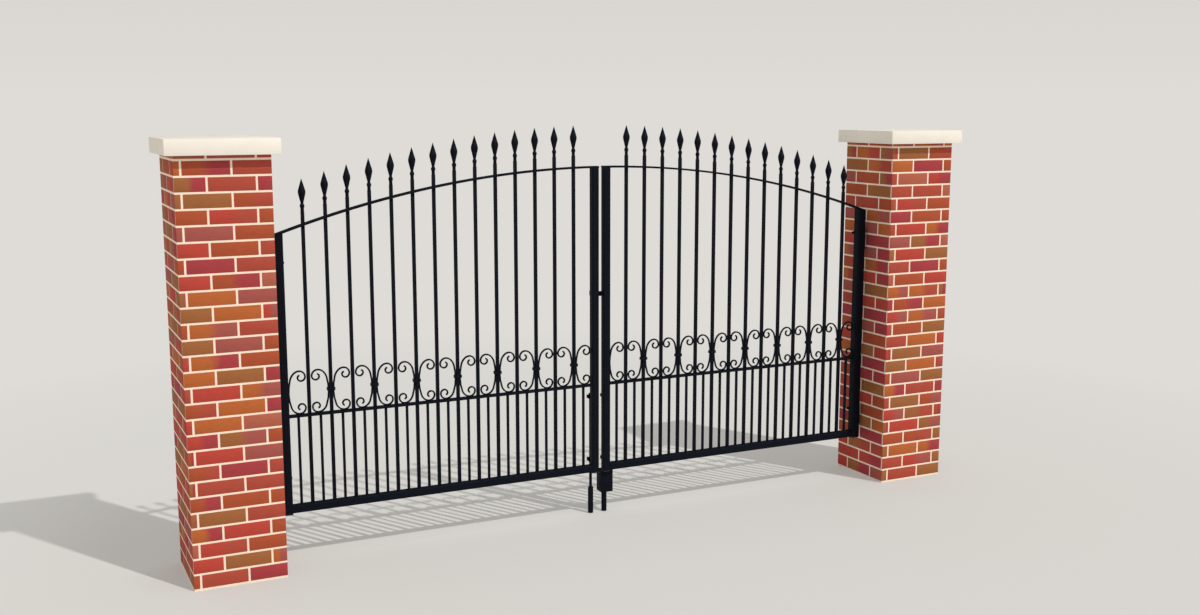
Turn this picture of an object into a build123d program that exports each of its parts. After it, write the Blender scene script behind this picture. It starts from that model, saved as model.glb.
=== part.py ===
"""A pair of wrought iron driveway gates hung between two brick piers.

The origin is the centre of the left pier's base, on the ground. +X runs to the
right pier, +Y to the rear and +Z up. Lengths are in millimetres. Both leaves
swing to the rear on upright pins that stand in the gaps beside the piers, and
each leaf is held shut by a drop bolt that slides in guides on its meeting stile.
"""
from build123d import *
import os
from math import cos, radians, sin, sqrt

# Masonry
pier_width = 440
pier_height = 2050
cap_overhang = 40
cap_thickness = 75
cap_chamfer = 3
opening_width = 3600

# Leaf frame
hinge_gap = 30
meeting_gap = 30
ground_clearance = 250
hinge_stile_size = 50
meeting_stile_size = 40
tube_wall = 3
tube_chamfer = 3
plug_flange = 6
plug_depth = 12
plug_lip = 1
plug_slack = 0.1
bottom_rail_height = 40
rail_depth = 40
middle_rail_height = 740
flat_thickness = 10
arch_crown_height = 1950
arch_rise = 298

# Bars and dog bars
bars_per_leaf = 14
bar_size = 16
bar_slack = 0.1
dog_bar_size = 12

# Finials, with heights from the top of the bar
finial_reach = 79
finial_height = 147
finial_point = 92
finial_point_half = 16.7
finial_shoulder = 74
finial_shoulder_half = 17.8
finial_neck = 27
finial_neck_half = 6.8
bead_height = 12
bead_half = 11.6

# Scrolls and collars, each arc with its radius in gaps between bars, its turn and its flats
scroll_thickness = 8
scroll_depth = 8
scroll_seat = 0.2
upper_arcs = [
    (3.02, 14, 1),
    (0.625, 38, 2),
    (0.396, 38, 1),
    (0.3125, 90, 2),
    (0.2135, 90, 2),
    (0.177, 90, 2),
    (0.125, 80, 2),
]
lower_arcs = [
    (2.344, 18.9, 1),
    (0.521, 35.1, 1),
    (0.4167, 36, 1),
    (0.302, 90, 2),
    (0.2083, 90, 2),
    (0.177, 90, 2),
    (0.1146, 80, 2),
]
collar_wall = 3.2
collar_height = 16
collar_slack = 0.4

# Hinges
hinge_heights = (400, 1490)
pin_diameter = 12
pin_slack = 0.05
pin_tip = 8
band_thickness = 4
band_height = 44
band_tail = 62
band_tip = 10
rest_gap = 0.3
hook_plate_width = 40
hook_plate_height = 80
hook_plate_thickness = 8
hook_arm_height = 14

# Drop bolts
bolt_diameter = 16
bolt_slack = 0.05
bolt_inset = 27
bolt_standoff = 8
foot_diameter = 30
foot_height = 149
foot_lift = 2
bolt_head_diameter = 22
bolt_head_height = 10
guide_heights = (303, 662)
guide_width = 32
guide_height = 18
guide_wall = 10

# Box round the right bolt's foot
box_width = 70
box_depth = 66
box_height = 126
box_wall = 4
box_shift = 4.5
box_hole = 40

# Latch
latch_height = 1255
tongue_height = 26
tongue_thickness = 8
tongue_setback = 3
tongue_end_gap = 1.5
lock_case_width = 29
lock_case_height = 26
lock_case_depth = 14

# Places worked out from the sizes above
sides = {"left": -1, "right": 1}
pier_spacing = opening_width + pier_width
gate_middle = pier_spacing / 2
hinge_edge = opening_width / 2 - hinge_gap
meeting_edge = meeting_gap / 2
panel_outer = hinge_edge - hinge_stile_size
panel_inner = meeting_edge + meeting_stile_size
panel_width = panel_outer - panel_inner
bar_gap = (panel_width - bars_per_leaf * bar_size) / (bars_per_leaf + 1)
bar_pitch = bar_gap + bar_size
bar_hole = bar_size + 2 * bar_slack
bottom_rail_top = ground_clearance + bottom_rail_height
middle_rail_top = middle_rail_height + flat_thickness
arch_radius = (hinge_edge**2 + arch_rise**2) / (2 * arch_rise)
arch_centre_height = arch_crown_height - arch_radius
eye_radius = pin_diameter / 2 + band_thickness
pin_edge = hinge_edge + hinge_gap / 2
pin_y = hinge_stile_size / 2 + eye_radius
bolt_edge = meeting_edge + bolt_inset
bolt_y = meeting_stile_size / 2 + bolt_standoff + bolt_diameter / 2
guide_bore = bolt_diameter + 2 * bolt_slack


def across(side, distance):
    """X of what stands this far from the middle of the gate, on one side."""
    return gate_middle + sides[side] * distance


def arch_height(x, depth=0):
    """Height of the arch at x, this far in from its top edge."""
    return arch_centre_height + sqrt((arch_radius - depth) ** 2 - (x - gate_middle) ** 2)


def panel_left(side):
    """X of the left end of a leaf's panel of bars."""
    return min(across(side, panel_inner), across(side, panel_outer))


def bar_places(side):
    """X of each long bar's centre, from left to right."""
    first = panel_left(side) + bar_gap + bar_size / 2
    return [first + index * bar_pitch for index in range(bars_per_leaf)]


def gap_places(side):
    """X of the middle of each gap in the panel, from left to right."""
    first = panel_left(side) + bar_gap / 2
    return [first + index * bar_pitch for index in range(bars_per_leaf + 1)]


def finial_base(x):
    """Height at which the bar at x ends and its finial starts."""
    return arch_height(x, flat_thickness / 2) + finial_reach


def make_pier(x):
    """A square pier."""
    with BuildPart() as pier:
        with BuildSketch():
            with Locations((x, 0)):
                Rectangle(pier_width, pier_width)
        extrude(amount=pier_height)
    return pier


def make_cap(x):
    """A plain slab that overhangs its pier all round."""
    width = pier_width + 2 * cap_overhang
    with BuildPart() as cap:
        with BuildSketch(Plane.XY.offset(pier_height)):
            with Locations((x, 0)):
                Rectangle(width, width)
        extrude(amount=cap_thickness)
        chamfer(cap.edges().group_by(Axis.Z)[-1], length=cap_chamfer)
    return cap


def make_stile(side, near, size):
    """A hollow upright, closed at its top, that ends under the arched rail."""
    x = across(side, near + size / 2)
    lowest_top = arch_height(across(side, near + size), flat_thickness)
    with BuildPart() as stile:
        with BuildSketch(Plane.XY.offset(ground_clearance)) as section:
            with Locations((x, 0)):
                Rectangle(size, size)
            chamfer(section.vertices(), length=tube_chamfer)
        extrude(amount=arch_crown_height - ground_clearance)
        with BuildSketch(Plane.XY.offset(ground_clearance)):
            with Locations((x, 0)):
                Rectangle(size - 2 * tube_wall, size - 2 * tube_wall)
        extrude(amount=lowest_top - tube_wall - ground_clearance, mode=Mode.SUBTRACT)
        with BuildSketch(Plane.XZ):
            with BuildLine():
                ends = (x - size, x + size)
                curve = ThreePointArc(
                    *[(place, arch_height(place, flat_thickness)) for place in (ends[0], x, ends[1])]
                )
                above = arch_crown_height + size
                Polyline(curve @ 0, (ends[0], above), (ends[1], above), curve @ 1)
            make_face()
        extrude(amount=size, both=True, mode=Mode.SUBTRACT)
    return stile


def make_plugs(side):
    """Flanged plugs that close the feet of the leaf's two stiles."""
    with BuildPart() as plugs:
        for near, size in ((panel_outer, hinge_stile_size), (meeting_edge, meeting_stile_size)):
            x = across(side, near + size / 2)
            with BuildSketch(Plane.XY.offset(ground_clearance)):
                with Locations((x, 0)):
                    inside = size - 2 * (tube_wall + plug_slack)
                    Rectangle(inside, inside)
            extrude(amount=plug_depth)
            with BuildSketch(Plane.XY.offset(ground_clearance - plug_flange)):
                with Locations((x, 0)):
                    Rectangle(size - 2 * plug_lip, size - 2 * plug_lip)
            extrude(amount=plug_flange)
    return plugs


def make_bottom_rail(side):
    """A hollow rail between the stiles at the foot of the leaf."""
    with BuildPart() as rail:
        with BuildSketch(Plane.YZ.offset(panel_left(side))) as section:
            middle = (0, ground_clearance + bottom_rail_height / 2)
            with Locations(middle):
                Rectangle(rail_depth, bottom_rail_height)
            chamfer(section.vertices(), length=tube_chamfer)
            with Locations(middle):
                inside = (rail_depth - 2 * tube_wall, bottom_rail_height - 2 * tube_wall)
                Rectangle(*inside, mode=Mode.SUBTRACT)
        extrude(amount=panel_width)
    return rail


def make_middle_rail(side):
    """A flat bar that the long bars pass through and the scrolls stand on."""
    with BuildPart() as rail:
        with BuildSketch(Plane.XY.offset(middle_rail_height)):
            with Locations((panel_left(side) + panel_width / 2, 0)):
                Rectangle(panel_width, rail_depth)
            with Locations([(x, 0) for x in bar_places(side)]):
                Rectangle(bar_hole, bar_hole, mode=Mode.SUBTRACT)
        extrude(amount=flat_thickness)
    return rail


def make_top_rail(side):
    """A flat bar bent to the arch, over the stiles, that the long bars pass through."""
    left, right = sorted((across(side, meeting_edge), across(side, hinge_edge)))
    places = (left, (left + right) / 2, right)
    with BuildPart() as rail:
        with BuildSketch(Plane.XZ):
            with BuildLine():
                upper = ThreePointArc(*[(x, arch_height(x)) for x in places])
                lower = ThreePointArc(*[(x, arch_height(x, flat_thickness)) for x in places])
                Line(upper @ 0, lower @ 0)
                Line(upper @ 1, lower @ 1)
            make_face()
        extrude(amount=rail_depth / 2, both=True)
        with BuildSketch(Plane.XY.offset(middle_rail_top)):
            with Locations([(x, 0) for x in bar_places(side)]):
                Rectangle(bar_hole, bar_hole)
        extrude(amount=arch_crown_height - middle_rail_top, mode=Mode.SUBTRACT)
    return rail


def make_bars(side):
    """The long square bars, from the bottom rail up to their finials."""
    with BuildPart() as bars:
        for x in bar_places(side):
            with BuildSketch(Plane.XY.offset(bottom_rail_top)):
                with Locations((x, 0)):
                    Rectangle(bar_size, bar_size)
            extrude(amount=finial_base(x) - bottom_rail_top)
    return bars


def make_dog_bars(side):
    """The short thinner bars, one in each gap below the middle rail."""
    with BuildPart() as bars:
        with BuildSketch(Plane.XY.offset(bottom_rail_top)):
            with Locations([(x, 0) for x in gap_places(side)]):
                Rectangle(dog_bar_size, dog_bar_size)
        extrude(amount=middle_rail_height - bottom_rail_top)
    return bars


def make_finial():
    """One eight-sided spear over a bead, its foot at Z 0."""
    half_outline = [
        (0, finial_height),
        (finial_point_half, finial_point),
        (finial_shoulder_half, finial_shoulder),
        (finial_neck_half, finial_neck),
        (bead_half, bead_height),
        (bar_size / 2, 0),
    ]
    mirrored = [(-x, z) for x, z in reversed(half_outline[1:])]
    with BuildPart() as finial:
        for turn in (0, 45, 90, 135):
            with BuildSketch(Plane.XZ.rotated((0, 0, turn))):
                with BuildLine():
                    Polyline(*half_outline, *mirrored, close=True)
                make_face()
            whole = Mode.ADD if turn == 0 else Mode.INTERSECT
            extrude(amount=finial_shoulder_half, both=True, mode=whole)
    return finial


def make_finials(side):
    """The finials on top of the long bars."""
    finial = make_finial()
    with BuildPart() as finials:
        with Locations([(x, 0, finial_base(x)) for x in bar_places(side)]):
            add(finial.part)
    return finials


def scroll_stops(arcs):
    """Distance out, height and turn at each corner of a scroll's middle line, from its back."""
    out, up, turned = 0, collar_height / 2, 0
    stops = [(out, up, turned)]
    for share, turn, flats in arcs:
        radius = share * bar_gap
        for _ in range(flats):
            ahead = turned + radians(turn / flats)
            out += radius * (cos(turned) - cos(ahead))
            up += radius * (sin(ahead) - sin(turned))
            turned = ahead
            stops.append((out, up, turned))
    return stops


def make_scroll(facing):
    """One scroll that curls to +X or, facing -1, to -X, its back's middle line at X 0."""
    half = scroll_thickness / 2
    edges = []
    for arcs, heading in ((upper_arcs, 1), (lower_arcs, -1)):
        for edge in (-half, half):
            edges.append(
                [
                    (facing * (out + edge * cos(turned)), heading * (up - edge * sin(turned)))
                    for out, up, turned in scroll_stops(arcs)
                ]
            )
    upper_back, upper_front, lower_back, lower_front = edges
    corners = [*upper_back, *upper_front[::-1], *lower_front, *lower_back[::-1]]
    with BuildPart() as scroll:
        with BuildSketch(Plane.XZ):
            with BuildLine():
                Polyline(*corners, close=True)
            make_face()
        extrude(amount=scroll_depth / 2, both=True)
    return scroll


def scroll_height():
    """Height of the middle of the scrolls' backs."""
    return middle_rail_top + scroll_seat - make_scroll(1).part.bounding_box().min.Z


def make_scrolls(side):
    """The scrolls, back to back in pairs on every second bar, with the first on the left stile."""
    height = scroll_height()
    offset = bar_gap / 2 - scroll_seat - scroll_thickness / 2
    places = gap_places(side)
    with BuildPart() as scrolls:
        for facing, gaps in ((1, places[::2]), (-1, places[1::2])):
            scroll = make_scroll(facing)
            with Locations([(x - facing * offset, 0, height) for x in gaps]):
                add(scroll.part)
    return scrolls


def make_collars(side):
    """Bands that clasp a long bar and the backs of the two scrolls beside it."""
    inner_width = bar_size + 2 * (scroll_seat + scroll_thickness + collar_slack)
    inner_depth = bar_size + 2 * bar_slack
    with BuildPart() as collars:
        with BuildSketch(Plane.XY.offset(scroll_height() - collar_height / 2)):
            with Locations([(x, 0) for x in bar_places(side)[1::2]]):
                Rectangle(inner_width + 2 * collar_wall, inner_depth + 2 * collar_wall)
                Rectangle(inner_width, inner_depth, mode=Mode.SUBTRACT)
        extrude(amount=collar_height)
    return collars


def make_hinge_bands(side):
    """Tapered straps on the rear of the hinge stile, rolled into eyes round the pins."""
    pin_x = across(side, pin_edge)
    edge_x = across(side, hinge_edge)
    tail_x = across(side, hinge_edge - band_tail)
    with BuildPart() as bands:
        for height in hinge_heights:
            top = height + band_height
            middle = height + band_height / 2
            with BuildSketch(Plane.XY.offset(height)):
                with Locations((pin_x, pin_y)):
                    Circle(eye_radius)
            extrude(amount=band_height)
            with BuildSketch(Plane.XZ.offset(-hinge_stile_size / 2)):
                with BuildLine():
                    Polyline(
                        (pin_x, height),
                        (edge_x, height),
                        (tail_x, middle - band_tip / 2),
                        (tail_x, middle + band_tip / 2),
                        (edge_x, top),
                        (pin_x, top),
                        close=True,
                    )
                make_face()
            extrude(amount=-band_thickness)
            with BuildSketch(Plane.XY.offset(height)):
                with Locations((pin_x, pin_y)):
                    Circle(pin_diameter / 2 + pin_slack)
            extrude(amount=band_height, mode=Mode.SUBTRACT)
    return bands


def make_hinge_hooks(side):
    """Plates on the pier's inner face, each with an arm and an upright pin for one band."""
    pin_x = across(side, pin_edge)
    pier_face = across(side, opening_width / 2)
    plate_face = across(side, opening_width / 2 - hook_plate_thickness)
    with BuildPart() as hooks:
        for height in hinge_heights:
            arm_top = height - rest_gap
            with BuildSketch(Plane.XY.offset(arm_top - hook_plate_height)):
                with Locations(((pier_face + plate_face) / 2, pin_y)):
                    Rectangle(hook_plate_thickness, hook_plate_width)
            extrude(amount=hook_plate_height)
            with BuildSketch(Plane.XY.offset(arm_top - hook_arm_height)):
                arm_length = abs(pin_x - plate_face) + eye_radius
                with Locations((plate_face - sides[side] * arm_length / 2, pin_y)):
                    Rectangle(arm_length, 2 * eye_radius)
            extrude(amount=hook_arm_height)
            with BuildSketch(Plane.XY.offset(arm_top)):
                with Locations((pin_x, pin_y)):
                    Circle(pin_diameter / 2)
            extrude(amount=rest_gap + band_height + pin_tip)
    return hooks


def make_drop_bolt(side):
    """A rod with a thick foot and a head that rests on the upper guide."""
    foot_top = foot_lift + foot_height
    head_foot = max(guide_heights) + guide_height + rest_gap
    with BuildPart() as bolt:
        for radius, low, high in (
            (foot_diameter / 2, foot_lift, foot_top),
            (bolt_diameter / 2, foot_top, head_foot),
            (bolt_head_diameter / 2, head_foot, head_foot + bolt_head_height),
        ):
            with BuildSketch(Plane.XY.offset(low)):
                with Locations((across(side, bolt_edge), bolt_y)):
                    Circle(radius)
            extrude(amount=high - low)
    return bolt


def make_bolt_guides(side):
    """Blocks with square bores on the meeting stile that the drop bolt slides through."""
    near = meeting_stile_size / 2
    far = bolt_y + bolt_diameter / 2 + guide_wall
    with BuildPart() as guides:
        for height in guide_heights:
            with BuildSketch(Plane.XY.offset(height)):
                with Locations((across(side, bolt_edge), (near + far) / 2)):
                    Rectangle(guide_width, far - near)
                with Locations((across(side, bolt_edge), bolt_y)):
                    Rectangle(guide_bore, guide_bore, mode=Mode.SUBTRACT)
            extrude(amount=guide_height)
    return guides


def make_bolt_box():
    """A hollow box under the plug of the right meeting stile, round its drop bolt's foot."""
    x = across("right", bolt_edge) + box_shift
    low = ground_clearance - plug_flange - box_height
    with BuildPart() as box:
        with BuildSketch(Plane.XY.offset(low)):
            with Locations((x, bolt_y)):
                Rectangle(box_width, box_depth)
        extrude(amount=box_height)
        with BuildSketch(Plane.XY.offset(low)):
            with Locations((x, bolt_y)):
                Rectangle(box_width - 2 * box_wall, box_depth - 2 * box_wall)
        extrude(amount=box_height - box_wall, mode=Mode.SUBTRACT)
        with BuildSketch(Plane.XY.offset(low)):
            with Locations((across("right", bolt_edge), bolt_y)):
                Rectangle(box_hole, box_hole)
        extrude(amount=box_height, mode=Mode.SUBTRACT)
    return box


def make_latch():
    """A tongue on the left meeting stile that reaches across the gap."""
    near = across("left", meeting_edge)
    far = across("right", meeting_edge) - tongue_end_gap
    front = tongue_setback - meeting_stile_size / 2
    with BuildPart() as tongue:
        with BuildSketch(Plane.XY.offset(latch_height - tongue_height / 2)):
            with Locations(((near + far) / 2, front + tongue_thickness / 2)):
                Rectangle(far - near, tongue_thickness)
        extrude(amount=tongue_height)
    return tongue


def make_lock_case():
    """A small case on the rear of the left meeting stile, behind the latch."""
    x = across("left", meeting_edge + meeting_stile_size / 2)
    near = meeting_stile_size / 2
    with BuildPart() as case:
        with BuildSketch(Plane.XY.offset(latch_height - lock_case_height / 2)):
            with Locations((x, near + lock_case_depth / 2)):
                Rectangle(lock_case_width, lock_case_depth)
        extrude(amount=lock_case_height)
    return case


def finish(piece, name):
    """Name a finished piece and write it out."""
    piece.part.label = name
    export_step(piece.part, f"parts/{name}.step")


os.makedirs("parts", exist_ok=True)

for side, x in (("left", 0), ("right", pier_spacing)):
    finish(make_pier(x), f"{side}_pier")
    finish(make_cap(x), f"{side}_cap")
    finish(make_hinge_hooks(side), f"{side}_hinge_hooks")
    finish(make_stile(side, panel_outer, hinge_stile_size), f"{side}_hinge_stile")
    finish(make_stile(side, meeting_edge, meeting_stile_size), f"{side}_meeting_stile")
    finish(make_plugs(side), f"{side}_stile_plugs")
    finish(make_bottom_rail(side), f"{side}_bottom_rail")
    finish(make_middle_rail(side), f"{side}_middle_rail")
    finish(make_top_rail(side), f"{side}_top_rail")
    finish(make_bars(side), f"{side}_bars")
    finish(make_dog_bars(side), f"{side}_dog_bars")
    finish(make_finials(side), f"{side}_finials")
    finish(make_scrolls(side), f"{side}_scrolls")
    finish(make_collars(side), f"{side}_collars")
    finish(make_hinge_bands(side), f"{side}_hinge_bands")
    finish(make_drop_bolt(side), f"{side}_drop_bolt")
    finish(make_bolt_guides(side), f"{side}_bolt_guides")

finish(make_bolt_box(), "bolt_box")
finish(make_latch(), "latch_tongue")
finish(make_lock_case(), "lock_case")
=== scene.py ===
"""Dresses a pair of arched iron driveway gates and the two brick piers that carry them.

Every piece is built in metres, in the frame's own place, and rides on the body that
carries it: the posts, one of the two leaves, or one of the two drop bolts.
"""
import logging
import math
import random
from collections.abc import Iterable, Sequence
from dataclasses import dataclass
from enum import Enum

import bmesh
import bpy
from mathutils import Matrix, Vector


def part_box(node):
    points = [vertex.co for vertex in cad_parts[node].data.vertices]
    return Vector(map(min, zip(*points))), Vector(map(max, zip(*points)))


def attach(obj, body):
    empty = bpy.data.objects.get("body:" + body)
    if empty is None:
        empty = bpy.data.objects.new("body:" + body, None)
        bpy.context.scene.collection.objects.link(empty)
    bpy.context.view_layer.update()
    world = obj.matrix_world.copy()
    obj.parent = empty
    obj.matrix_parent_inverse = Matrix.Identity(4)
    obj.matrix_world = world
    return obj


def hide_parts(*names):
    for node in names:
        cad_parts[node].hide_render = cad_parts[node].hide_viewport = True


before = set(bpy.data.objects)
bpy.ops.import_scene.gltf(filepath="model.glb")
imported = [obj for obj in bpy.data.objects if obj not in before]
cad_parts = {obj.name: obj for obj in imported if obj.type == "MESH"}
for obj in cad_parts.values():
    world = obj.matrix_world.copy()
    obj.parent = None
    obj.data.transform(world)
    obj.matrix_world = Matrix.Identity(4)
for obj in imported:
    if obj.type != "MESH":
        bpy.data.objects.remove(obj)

logging.basicConfig(level=logging.INFO, format="%(name)s: %(message)s")
log = logging.getLogger("gate")

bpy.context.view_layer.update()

Colour = tuple[float, float, float, float]
Triple = tuple[float, float, float]
Elements = Sequence[bmesh.types.BMVert | bmesh.types.BMEdge | bmesh.types.BMFace]

# A range of a value, from low to high, and the range that it becomes
Band = tuple[float, float, float, float]

# A bump's depth in metres, and its strength
Relief = tuple[float, float]

# Where fractal noise spends most of its range
NOISE_RANGE = (0.3, 0.7)

# How far a normal rises where a surface starts to face the sky, and where it does so fully
SKYWARD = (0.5, 0.9)

# The turn between two faces past which their edge looks sharp
SMOOTH_ANGLE = math.radians(38)

# The turn between two faces, in radians, past which their edge is one of a box's own
BOX_EDGE_ANGLE = 1.0

# How far a face's normal rises or falls, at least, where the face lies level
LEVEL = 0.9

# Corners nearer to each other than this are one
MERGE_DISTANCE = 1e-5


def linear(red: int, green: int, blue: int) -> Colour:
    """Turn a screen colour into the shader's, by the standard curve of screens.

    Args:
        red: its red, from 0 to 255.
        green: its green.
        blue: its blue.

    Returns:
        The opaque colour in linear light.
    """
    shares = [channel / 255 for channel in (red, green, blue)]
    light = [s / 12.92 if s <= 0.04045 else ((s + 0.055) / 1.055) ** 2.4 for s in shares]
    return (*light, 1.0)


# Named choices

class Axis(Enum):
    """An axis of the frame: its way, and the turn that lays an upright rod along it."""

    X = ((1, 0, 0), math.pi / 2, "Y")
    Y = ((0, 1, 0), -math.pi / 2, "X")
    Z = ((0, 0, 1), 0.0, "Z")

    @property
    def way(self) -> Vector:
        """The axis's direction."""
        return Vector(self.value[0])

    @property
    def turn(self) -> Matrix:
        """The matrix of its turn."""
        return Matrix.Rotation(self.value[1], 4, self.value[2])


class Side(Enum):
    """Which half of the gate a piece belongs to, as the photograph's viewer sees it."""

    LEFT = "left"
    RIGHT = "right"

    @property
    def outward(self) -> int:
        """The sign of X from the gate's middle to this half's pier."""
        return -1 if self is Side.LEFT else 1

    @property
    def leaf(self) -> str:
        """The body of this half's leaf."""
        return f"{self.value}_leaf"

    def node(self, name: str) -> str:
        """The name of this half's node of a kind."""
        return f"{self.value}_{name}"

    def box(self, name: str) -> tuple[Vector, Vector]:
        """The lowest and highest corners of this half's node of a kind."""
        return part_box(self.node(name))

    def ends(self, name: str) -> tuple[float, float]:
        """X of a node's end next to the gate's middle, and of its end next to the pier."""
        low, high = self.box(name)
        return (high.x, low.x) if self is Side.LEFT else (low.x, high.x)


class Clay(Enum):
    """The fired colours that the bricks come in."""

    SCARLET = linear(185, 68, 55)
    BRICK_RED = linear(174, 74, 57)
    RUST = linear(172, 79, 48)
    ORANGE = linear(184, 98, 49)
    OCHRE = linear(158, 98, 55)
    SALMON = linear(178, 96, 74)
    CRIMSON = linear(166, 60, 65)
    ROSE = linear(165, 84, 75)


# Shader nodes

@dataclass(frozen=True)
class Noise:
    """The scale, detail and roughness of a fractal noise."""

    scale: float
    detail: float = 3.0
    roughness: float = 0.5


class Wire:
    """A shader socket that can stand in a sum."""

    def __init__(self, shader: "Shader", socket: bpy.types.NodeSocket) -> None:
        """Wrap one output socket of a shader's node."""
        self.shader = shader
        self.socket = socket

    def maths(self, operation: str, *values: "Wire | float") -> "Wire":
        """Run a Math node on some values."""
        inputs = dict(enumerate(values))
        return self.shader.wire("ShaderNodeMath", {"operation": operation}, inputs, "Value")

    def __add__(self, other: "Wire | float") -> "Wire":
        """Add a value."""
        return self.maths("ADD", self, other)

    __radd__ = __add__

    def __sub__(self, other: "Wire | float") -> "Wire":
        """Take a value away."""
        return self.maths("SUBTRACT", self, other)

    def __rsub__(self, other: float) -> "Wire":
        """Take this away from a number."""
        return self.maths("SUBTRACT", other, self)

    def __mul__(self, other: "Wire | float") -> "Wire":
        """Multiply by a value."""
        return self.maths("MULTIPLY", self, other)

    __rmul__ = __mul__

    def at_most(self, limit: float) -> "Wire":
        """The lesser of this and a number."""
        return self.maths("MINIMUM", self, limit)

    def spread(self, low: float, high: float, to_low: float = 0.0, to_high: float = 1.0) -> "Wire":
        """Stretch the range from low to high onto another, and clamp it there."""
        inputs = {"Value": self, "From Min": low, "From Max": high, "To Min": to_low, "To Max": to_high}
        return self.shader.wire("ShaderNodeMapRange", {"clamp": True}, inputs, "Result")


class Shader:
    """The node tree of a material or a world."""

    def __init__(self, owner: bpy.types.Material | bpy.types.World, output: str) -> None:
        """Start an empty tree with its output node.

        Args:
            owner: what the tree belongs to.
            output: the output node's type.
        """
        owner.use_nodes = True
        self.tree = owner.node_tree
        self.tree.nodes.clear()
        self.output = self.node(output)

    def show(self, shader: Wire) -> None:
        """Send a shader to the output."""
        self.feed(self.output.inputs["Surface"], shader)

    def node(self, kind: str, settings: dict | None = None, inputs: dict | None = None) -> bpy.types.Node:
        """Add one node.

        Args:
            kind: the node's type.
            settings: its own settings, set first.
            inputs: values or wires for its input sockets, by name or number.

        Returns:
            The node.
        """
        node = self.tree.nodes.new(kind)
        for key, value in (settings or {}).items():
            setattr(node, key, value)
        for key, value in (inputs or {}).items():
            self.feed(node.inputs[key], value)
        return node

    def feed(self, socket: bpy.types.NodeSocket, value: Wire | float | Sequence[float]) -> None:
        """Link a wire to a socket, or set the socket's own value.

        Args:
            socket: the input socket.
            value: the wire or the value.
        """
        if isinstance(value, Wire):
            self.tree.links.new(value.socket, socket)
        else:
            socket.default_value = value

    def wire(self, kind: str, settings: dict | None, inputs: dict | None, output: str) -> Wire:
        """Add one node and wrap one of its outputs."""
        return Wire(self, self.node(kind, settings, inputs).outputs[output])

    def attribute(self, name: str, output: str) -> Wire:
        """A value that the mesh itself carries."""
        return self.wire("ShaderNodeAttribute", {"attribute_name": name}, None, output)

    def place(self, scale: Triple = (1, 1, 1)) -> Wire:
        """Object coordinates, stretched along each axis."""
        here = self.wire("ShaderNodeTexCoord", None, None, "Object")
        return self.wire("ShaderNodeMapping", None, {"Vector": here, "Scale": scale}, "Vector")

    def noise(self, place: Wire, noise: Noise) -> Wire:
        """Fractal noise between 0 and 1."""
        inputs = {"Vector": place, "Scale": noise.scale, "Detail": noise.detail, "Roughness": noise.roughness}
        return self.wire("ShaderNodeTexNoise", None, inputs, "Fac")

    def mix(self, share: Wire, first: Wire | Colour, second: Wire | Colour) -> Wire:
        """Mix two colours.

        Args:
            share: how much of the second colour shows.
            first: the colour below.
            second: the colour on top.

        Returns:
            The mixed colour.
        """
        node = self.node("ShaderNodeMix", {"data_type": "RGBA", "clamp_factor": True}, {"Factor": share})
        colours = [socket for socket in node.inputs if socket.type == "RGBA"]
        for socket, colour in zip(colours, (first, second)):
            self.feed(socket, colour)
        return Wire(self, next(socket for socket in node.outputs if socket.type == "RGBA"))

    def relief(self, *layers: tuple[Wire, Relief]) -> Wire:
        """Turn heights into one bent normal.

        Args:
            layers: each height and its bump, the lowest layer first.

        Returns:
            The normal.
        """
        below = {}
        for height, (distance, strength) in layers:
            inputs = {"Height": height, "Distance": distance, "Strength": strength, **below}
            below = {"Normal": self.wire("ShaderNodeBump", None, inputs, "Normal")}
        return below["Normal"]

    def upward(self) -> Wire:
        """How squarely a surface faces the sky, from 0 to 1."""
        facing = self.wire("ShaderNodeNewGeometry", None, None, "Normal")
        return self.wire("ShaderNodeSeparateXYZ", None, {"Vector": facing}, "Z").spread(*SKYWARD)

    def blend(self, share: Wire, first: Wire, second: Wire) -> Wire:
        """Mix two shaders."""
        return self.wire("ShaderNodeMixShader", None, {0: share, 1: first, 2: second}, "Shader")

    def seen(self) -> Wire:
        """Find whether a ray comes from the camera, or mirrors or passes what the camera sees.

        Returns:
            1 where it does, and 0 elsewhere.
        """
        path = self.node("ShaderNodeLightPath")
        kinds = ("Camera", "Glossy", "Transmission")
        camera, glossy, passed = [Wire(self, path.outputs[f"Is {kind} Ray"]) for kind in kinds]
        return (camera + glossy + passed).at_most(1.0)


class Surface(Shader):
    """The node tree of one material with a Principled shader."""

    def __init__(self, name: str) -> None:
        """Start a material whose Principled shader goes to its output.

        Args:
            name: the material's name.
        """
        self.material = bpy.data.materials.new(name)
        super().__init__(self.material, "ShaderNodeOutputMaterial")
        self.surface = self.node("ShaderNodeBsdfPrincipled")
        self.paint = Wire(self, self.surface.outputs["BSDF"])
        self.show(self.paint)

    def dress(self, **sockets: Wire | float | Colour) -> bpy.types.Material:
        """Feed the Principled shader's sockets.

        Args:
            sockets: a value or wire for each, with underscores for the spaces in its name.

        Returns:
            The material.
        """
        for name, value in sockets.items():
            self.feed(self.surface.inputs[name.replace("_", " ")], value)
        return self.material


# Finishes

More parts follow.
